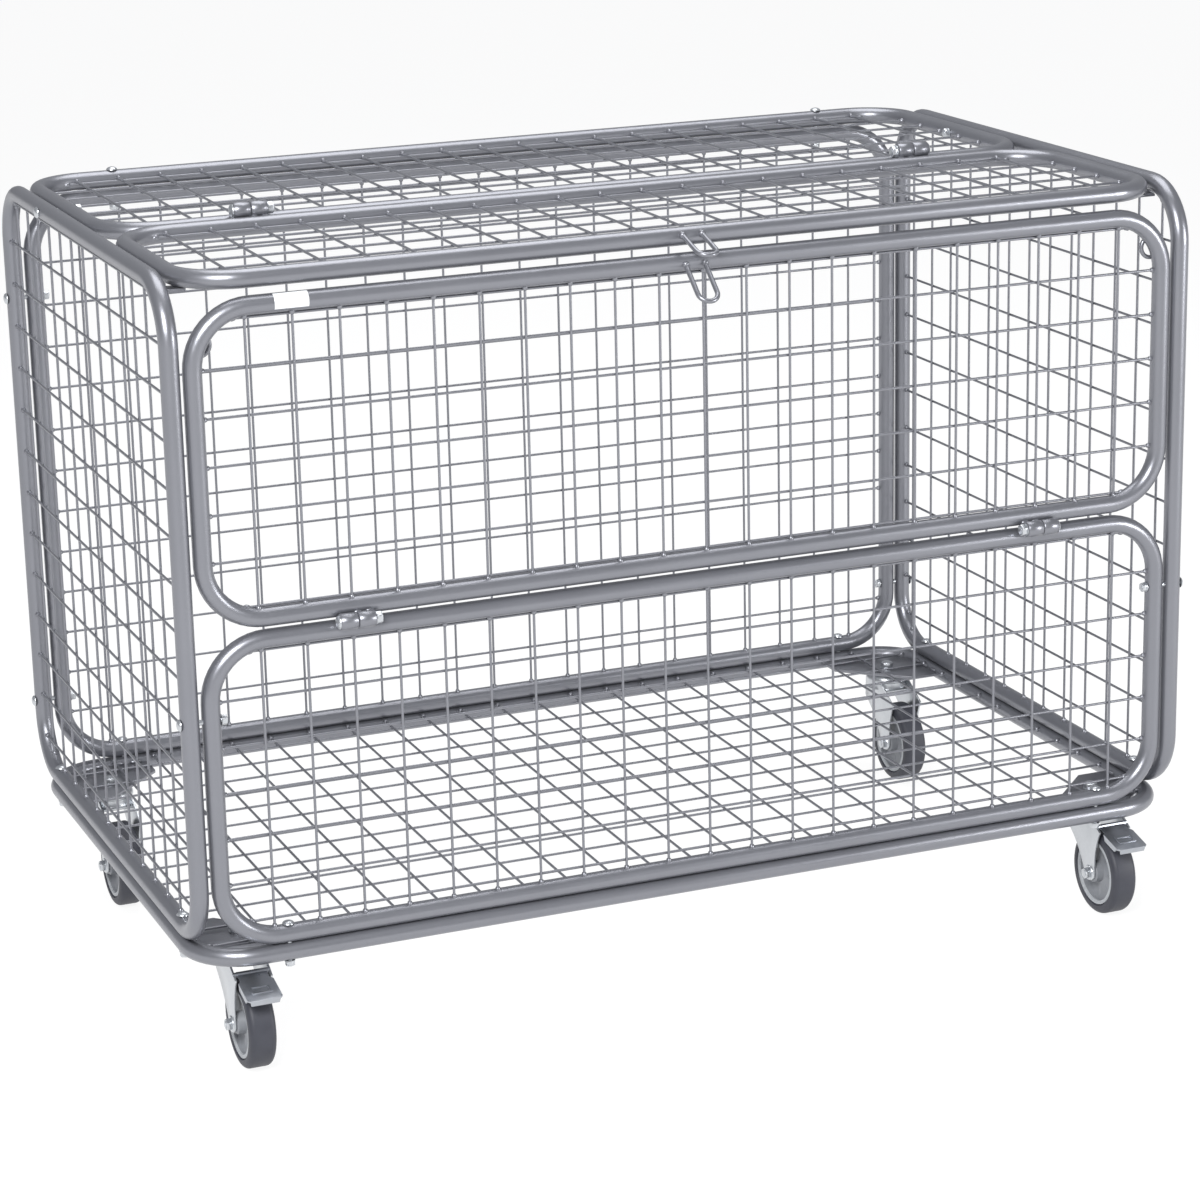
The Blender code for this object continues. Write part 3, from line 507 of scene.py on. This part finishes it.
lid_rear = SPLIT_Y - PAIR_GAP / 2
lid_front = FRONT_Y + 0.008
lid_depth = lid_rear - lid_front
lid_place = Matrix.Translation((0, (lid_front + lid_rear) / 2, ROOF_Z))
bm = bmesh.new()
loop(bm, 2 * SIDE_X, lid_depth, lid_place)
barrels(bm, LID_AXIS, lid_rear, ROOF_Z, inner=True)
hasp(bm, lid_front - TUBE * 0.3, ROOF_Z + TUBE * 0.5, 0.0165)
piece("lid_tube", bm, coat, "lid", ["lid_frame"])
rows = down_from(lid_depth, 6)
sheet("lid_wires", 2 * SIDE_X, lid_depth, lid_place, centred(21), rows, "lid", "lid_mesh")


# Bolts: bright zinc dome heads with flanged locknuts, pushed through both tubes. The threaded end
# stands a little out of each nut. Each size is head radius, shank radius, nut radius, nut height.
PANEL_BOLT = (0.0065, 0.0029, 0.0057, 0.007)
HINGE_BOLT = (0.0075, 0.0038, 0.0070, 0.008)


def zinc(name, bright, dark, rough):
    made, shader, place = finish_on(name, {"Metallic": 0.9})
    spangle = noise(place, 240.0, 3.0)
    stain = noise(place, 40.0, 2.0)
    drive(shader, "Base Color", blended(spangle * 0.5 + stain * 0.5, dark, bright))
    drive(shader, "Roughness", rough + spangle * 0.12 + stain * 0.08)
    bumped(shader, spangle, 0.08, 0.0003)
    return made


bright_zinc = zinc("bright_zinc", (0.68, 0.70, 0.72), (0.50, 0.52, 0.55), 0.22)


def hex_nut(bm, low, high, radius, place):
    """A six-sided nut or bolt head between two heights, with eased edges."""
    own = bmesh.new()
    middle = Matrix.Translation((0, 0, (low + high) / 2))
    bmesh.ops.create_cone(
        own, cap_ends=True, segments=6, radius1=radius, radius2=radius, depth=high - low, matrix=middle
    )
    ease = {"segments": 2, "profile": 0.5, "affect": "EDGES", "material": -1}
    bmesh.ops.bevel(own, geom=own.edges, offset=radius * 0.09, **ease)
    own.transform(place)
    add_to(bm, own)


def fastener(name, direction, head_r, shank_r, nut_r, nut_h, body, dome=True):
    """A bolt in the place of its CAD node. The direction runs from the nut to the head."""
    low, high = (Vector(corner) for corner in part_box(name))
    centre, size = (low + high) / 2, high - low
    direction = Vector(direction)
    length = abs(size.dot(direction))
    place = pointing(centre, direction)
    top, foot = length / 2, -length / 2
    own = bmesh.new()
    head_h = head_r * 0.54
    if dome:
        arc = [math.radians(18 * step) for step in range(1, 6)]
        head = [(head_r * math.sin(a), top - head_h + head_h * math.cos(a)) for a in arc]
        head = [(0, top)] + head
    else:
        head = [(0, top - head_h)]
        hex_nut(own, top - head_h, top, head_r, place)
    turned_solid(own, head + [(shank_r, top - head_h), (shank_r, foot + 0.0004), (0, foot)], place, 20)
    nut_top = foot + nut_h
    flange_low = nut_top - 0.0010
    flange = [(0, nut_top), (nut_r, nut_top), (nut_r, flange_low), (0, flange_low)]
    turned_solid(own, flange, place, 24)
    hex_nut(own, nut_top - nut_h * 0.86, nut_top - 0.0008, nut_r * 0.97, place)
    piece(name.replace("bolt", "screw"), own, bright_zinc, body, [name])


for side, sign in (("left", -1), ("right", 1)):
    for spot in ("front_foot_bolt", "back_foot_bolt", "roof_rear_bolt"):
        fastener(f"{spot}_{side}", (0, 0, 1), *PANEL_BOLT, "cage")
    for spot in ("front", "rear"):
        fastener(f"{side}_end_foot_bolt_{spot}", (0, 0, 1), *PANEL_BOLT, "cage")
    for spot in ("rear_low", "rear_high", "front", "roof"):
        fastener(f"{side}_side_bolt_{spot}", (sign, 0, 0), *PANEL_BOLT, "cage")
    for spot in ("door", "lid"):
        fastener(f"{spot}_hinge_bolt_{side}", (sign, 0, 0), *HINGE_BOLT, "cage")


# Castors: a swivel head over a pressed zinc fork, whose cheeks sweep back to the axle. A moulded
# grey hub carries a thick rubber tyre, and the front pair has a foot brake.
WHEEL = 0.050
TREAD = 0.015
ROUND_R, ROUND_X = 0.0074, 0.0062
HUB = 0.0395
CHEEK = 0.0025
FORK_ROOM = 0.0185
CAP = 0.027
BORE = 0.0054
AXLE_BOLT = (0.0075, 0.0040, 0.0070, 0.0075)
KINGPIN = (0.0085, 0.0049, 0.0085, 0.009)
HEAD_TOP = joints["front_left_swivel"]["pos_m"][2] - 0.0003


def rubber():
    made, shader, place = finish_on("blue_grey_rubber", {"Metallic": 0.0})
    dust = noise(place, 60.0, 4.0)
    grain = noise(place, 900.0, 2.0)
    drive(shader, "Base Color", blended(dust, (0.030, 0.032, 0.043), (0.056, 0.058, 0.073)))
    drive(shader, "Roughness", 0.46 + dust * 0.16)
    bumped(shader, grain, 0.15, 0.0003)
    return made


def moulded_grey(name, low, high):
    made, shader, place = finish_on(name, {"Metallic": 0.0})
    cloud = noise(place, 30.0, 3.0)
    grain = noise(place, 1300.0, 1.0)
    drive(shader, "Base Color", blended(cloud, low, high))
    drive(shader, "Roughness", 0.38 + cloud * 0.12)
    bumped(shader, grain, 0.12, 0.0002)
    return made


tyre_rubber = rubber()
hub_grey = moulded_grey("grey_plastic", (0.20, 0.21, 0.23), (0.27, 0.28, 0.30))
rim_grey = moulded_grey("pale_grey_plastic", (0.38, 0.40, 0.42), (0.46, 0.48, 0.50))
dark_zinc = zinc("blue_zinc", (0.52, 0.54, 0.57), (0.36, 0.38, 0.42), 0.22)


def cheek_outline(axle_y, king_y):
    """The side of the fork: wide under the head, drawn in by two long curves to the axle boss."""
    top = HEAD_TOP - 0.0088
    points = [(king_y + 0.020, top), (king_y - 0.024, top), (king_y - 0.029, top - 0.003)]
    front_top, front_low = Vector((axle_y - 0.0215, WHEEL + 0.056)), Vector((axle_y - 0.0115, WHEEL))
    for step in range(7):
        part = step / 6
        sag = 0.0045 * math.sin(math.pi * part)
        spot = front_top.lerp(front_low, part)
        points.append((spot.x + sag, spot.y))
    for step in range(1, 8):
        angle = math.pi + math.pi * step / 8
        points.append((axle_y + 0.0115 * math.cos(angle), WHEEL + 0.0085 * math.sin(angle)))
    rear_low, rear_top = Vector((axle_y + 0.0115, WHEEL)), Vector((king_y + 0.021, WHEEL + 0.050))
    for step in range(7):
        part = step / 6
        sag = 0.0050 * math.sin(math.pi * part)
        spot = rear_low.lerp(rear_top, part)
        points.append((spot.x - sag, spot.y + sag * 0.4))
    return points


for spot in ("front_left", "front_right", "rear_left", "rear_right"):
    king = Vector(joints[f"{spot}_swivel"]["pos_m"])
    axle = Vector(joints[f"{spot}_wheel_spin"]["pos_m"])
    castor, wheel = f"{spot}_castor", f"{spot}_wheel"
    upright = Matrix.Translation((king.x, king.y, 0))

    # Swivel head and fork
    bm = bmesh.new()
    crown = HEAD_TOP - 0.0180
    cap = [
        (BORE, HEAD_TOP), (CAP * 0.80, HEAD_TOP), (CAP * 0.90, HEAD_TOP - 0.0012),
        (CAP, HEAD_TOP - 0.0055), (CAP, HEAD_TOP - 0.0085), (CAP * 0.95, HEAD_TOP - 0.0098),
        (CAP * 0.95, crown + 0.0030), (CAP, crown), (CAP * 0.86, crown),
        (CAP * 0.86, HEAD_TOP - 0.0050), (BORE, HEAD_TOP - 0.0050), (BORE, HEAD_TOP),
    ]
    turned_solid(bm, cap, upright, 48)
    crown_half = FORK_ROOM + CHEEK / 2
    crown_outline = [
        (-crown_half, -0.029), (crown_half, -0.029), (crown_half, 0.019), (-crown_half, 0.019)
    ]
    plate(bm, crown_outline, 0.003, Matrix.Translation((king.x, king.y, crown - 0.0010)))
    for sign in (-1, 1):
        side_place = facing((king.x + sign * (FORK_ROOM + CHEEK / 2), 0, 0), (0, 1, 0), (0, 0, 1))
        plate(bm, cheek_outline(axle.y, king.y), CHEEK, side_place, 0.0005)
        boss = pointing((king.x + sign * (FORK_ROOM + CHEEK + 0.0004), axle.y, axle.z), (sign, 0, 0))
        washer = [(0.0045, 0.0008), (0.0085, 0.0008), (0.0095, -0.0010), (0.0045, -0.0010)]
        turned_solid(bm, washer + washer[:1], boss)
    piece(f"{spot}_fork", bm, bright_zinc, castor, [f"{spot}_castor_fork"], 35)
    fastener(f"{spot}_axle_bolt", (1, 0, 0), *AXLE_BOLT, castor, dome=False)
    fastener(f"{spot}_kingpin_bolt", (0, 0, -1), *KINGPIN, "cage", dome=False)

    # Wheel: tyre, dished hub and the pale ring at its rim
    across = pointing(axle, (1, 0, 0))
    bm = bmesh.new()
    arc = [math.radians(15 * step) for step in range(7)]
    shoulder = [
        (WHEEL - ROUND_R * (1 - math.sin(a)), TREAD - ROUND_X * (1 - math.cos(a))) for a in arc
    ]
    outer = [(HUB, TREAD - 0.0012), (HUB + 0.0010, TREAD)] + shoulder
    profile = outer + [(r, -x) for r, x in reversed(outer)] + [outer[0]]
    turned_solid(bm, profile, across, 64)
    piece(f"{spot}_tread", bm, tyre_rubber, wheel, [f"{spot}_tyre"], 40)
    bm = bmesh.new()
    half = [
        (0.0043, FORK_ROOM - 0.0004), (0.0105, FORK_ROOM - 0.0004), (0.0120, FORK_ROOM - 0.0022),
        (0.0128, 0.0085), (0.0200, 0.0062), (0.0290, 0.0066), (0.0330, 0.0090), (0.0338, 0.0118),
    ]
    back = [(r, -x) for r, x in reversed(half)]
    rim = HUB - 0.0003
    profile = half + [(rim, 0.0118), (rim, -0.0118)] + back + [half[0]]
    turned_solid(bm, profile, across, 64)
    for number in range(8):
        angle = math.tau * number / 8
        inner = Vector((0.0122 * math.cos(angle), 0.0122 * math.sin(angle), 0))
        outer_end = Vector((0.0325 * math.cos(angle), 0.0325 * math.sin(angle), 0))
        wire(bm, across @ inner, across @ outer_end, 0.0075)
    piece(f"{spot}_hub", bm, hub_grey, wheel, [f"{spot}_wheel_hub"], 30)
    bm = bmesh.new()
    for sign in (-1, 1):
        ring = [(0.0340, 0.0120), (0.0346, 0.0138), (0.0386, 0.0138), (0.0391, 0.0120)]
        turned_solid(bm, [(r, sign * x) for r, x in ring + ring[:1]], across, 64)
    piece(f"{spot}_rim_ring", bm, rim_grey, wheel)


# Foot brakes on the front castors: a pressed lever on a cross pin, its sides folded down and its
# front edge turned under, with a raised slot for the toe.
LEVER = 0.052
SLOPE = math.radians(14)
for spot in ("front_left", "front_right"):
    pivot = Vector(joints[f"{spot}_brake_lever"]["pos_m"])
    tilt = Matrix.Translation(pivot) @ Matrix.Rotation(SLOPE, 4, "X")
    bm = bmesh.new()
    wire(bm, pivot - Vector((0.0206, 0, 0)), pivot + Vector((0.0206, 0, 0)), 0.0029)
    arm, tread = 0.0162, 0.0195
    left = [
        (-arm, 0.004), (-arm, -0.013), (-tread, -0.017),
        (-tread, -LEVER + 0.003), (-tread + 0.003, -LEVER),
    ]
    plate(bm, left + [(-x, y) for x, y in reversed(left)], 0.0020, tilt)
    for sign in (-1, 1):
        flange = [(-0.017, 0.0), (-LEVER + 0.004, 0.0), (-LEVER + 0.008, -0.006), (-0.021, -0.006)]
        side_place = tilt @ facing((sign * (tread - 0.0010), 0, 0), (0, 1, 0), (0, 0, 1))
        plate(bm, flange, 0.0018, side_place, 0.0004)
    wide, narrow = tread - 0.003, tread - 0.004
    lip = [(-wide, 0.0), (wide, 0.0), (narrow, -0.0055), (-narrow, -0.0055)]
    plate(bm, lip, 0.0018, tilt @ facing((0, -LEVER + 0.0010, 0), (1, 0, 0), (0, 0, 1)), 0.0004)
    slot = [(-0.011, -0.040), (0.011, -0.040), (0.011, -0.027), (-0.011, -0.027)]
    inner = [(-0.0085, -0.0375), (0.0085, -0.0375), (0.0085, -0.0295), (-0.0085, -0.0295)]
    raised = tilt @ Matrix.Translation((0, 0, 0.0014))
    for number in range(4):
        after = (number + 1) % 4
        plate(bm, [slot[number], slot[after], inner[after], inner[number]], 0.0016, raised, 0.0003)
    node = f"{spot}_brake_pedal"
    piece(f"{spot}_foot_brake", bm, dark_zinc, f"{spot}_brake", [node], 35)


# Studio: a pale floor that runs off to white, a big soft lamp over the left shoulder, a weaker fill
# from the right and an even sky.
def studio_floor():
    made = bpy.data.materials.new("studio_floor")
    made.use_nodes = True
    tree = made.node_tree
    shader = tree.nodes["Principled BSDF"]
    shader.inputs["Base Color"].default_value = (0.80, 0.80, 0.80, 1)
    shader.inputs["Roughness"].default_value = 0.9
    rays = tree.nodes.new("ShaderNodeLightPath")
    glow = tree.nodes.new("ShaderNodeEmission")
    glow.inputs["Strength"].default_value = 1.12
    seen = Link(rays.outputs["Is Camera Ray"]) + Link(rays.outputs["Is Glossy Ray"])
    mix = tree.nodes.new("ShaderNodeMixShader")
    tree.links.new((seen * 0.80).socket, mix.inputs[0])
    tree.links.new(shader.outputs[0], mix.inputs[1])
    tree.links.new(glow.outputs[0], mix.inputs[2])
    tree.links.new(mix.outputs[0], tree.nodes["Material Output"].inputs["Surface"])
    return made


bm = bmesh.new()
bmesh.ops.create_grid(bm, x_segments=2, y_segments=2, size=30)
mesh = bpy.data.meshes.new("studio_floor")
bm.to_mesh(mesh)
bm.free()
mesh.materials.append(studio_floor())
floor = bpy.data.objects.new("studio_floor", mesh)
scene.collection.objects.link(floor)

world = bpy.data.worlds.new("studio_sky")
scene.world = world
world.use_nodes = True
tree = world.node_tree
sky = tree.nodes["Background"]
sky.inputs["Color"].default_value = (0.93, 0.95, 1.0, 1)
sky.inputs["Strength"].default_value = 0.36
white = tree.nodes.new("ShaderNodeBackground")
white.inputs["Strength"].default_value = 1.0
rays = tree.nodes.new("ShaderNodeLightPath")
seen = Link(rays.outputs["Is Camera Ray"]) + Link(rays.outputs["Is Transmission Ray"])
mix = tree.nodes.new("ShaderNodeMixShader")
tree.links.new(seen.socket, mix.inputs[0])
tree.links.new(sky.outputs[0], mix.inputs[1])
tree.links.new(white.outputs[0], mix.inputs[2])
tree.links.new(mix.outputs[0], tree.nodes["World Output"].inputs["Surface"])

for name, place, aim, size, watts in (
    ("key", (-2.0, -2.8, 2.6), (0, 0, 0.4), 1.3, 150),
    ("fill", (2.6, -2.6, 1.0), (0, 0, 0.4), 1.0, 50),
    ("top", (0.3, 0.6, 3.4), (0, 0, 0.5), 2.4, 60),
):
    lamp = bpy.data.lights.new(name, "AREA")
    lamp.size = size
    lamp.energy = watts
    made = bpy.data.objects.new(name, lamp)
    made.location = place
    made.rotation_euler = (Vector(aim) - Vector(place)).to_track_quat("-Z", "Y").to_euler()
    scene.collection.objects.link(made)

AZIMUTH, PITCH_DOWN, ROLL = (math.radians(angle) for angle in (22.06, 16.35, -1.27))
STAND = (-1.4622, -3.6171, 1.5191)
camera = bpy.data.cameras.new("camera")
camera.lens = 104.9
camera.sensor_width = 36
camera.clip_end = 100
made = bpy.data.objects.new("camera", camera)
level = math.cos(PITCH_DOWN)
forward = Vector((math.sin(AZIMUTH) * level, math.cos(AZIMUTH) * level, -math.sin(PITCH_DOWN)))
right = Vector((math.cos(AZIMUTH), -math.sin(AZIMUTH), 0))
up = right.cross(forward)
tilted_right = right * math.cos(ROLL) + up * math.sin(ROLL)
tilted_up = up * math.cos(ROLL) - right * math.sin(ROLL)
turn = Matrix((tilted_right, tilted_up, -forward)).transposed().to_4x4()
made.matrix_world = Matrix.Translation(STAND) @ turn
scene.collection.objects.link(made)
scene.camera = made
scene.view_settings.view_transform = "Standard"
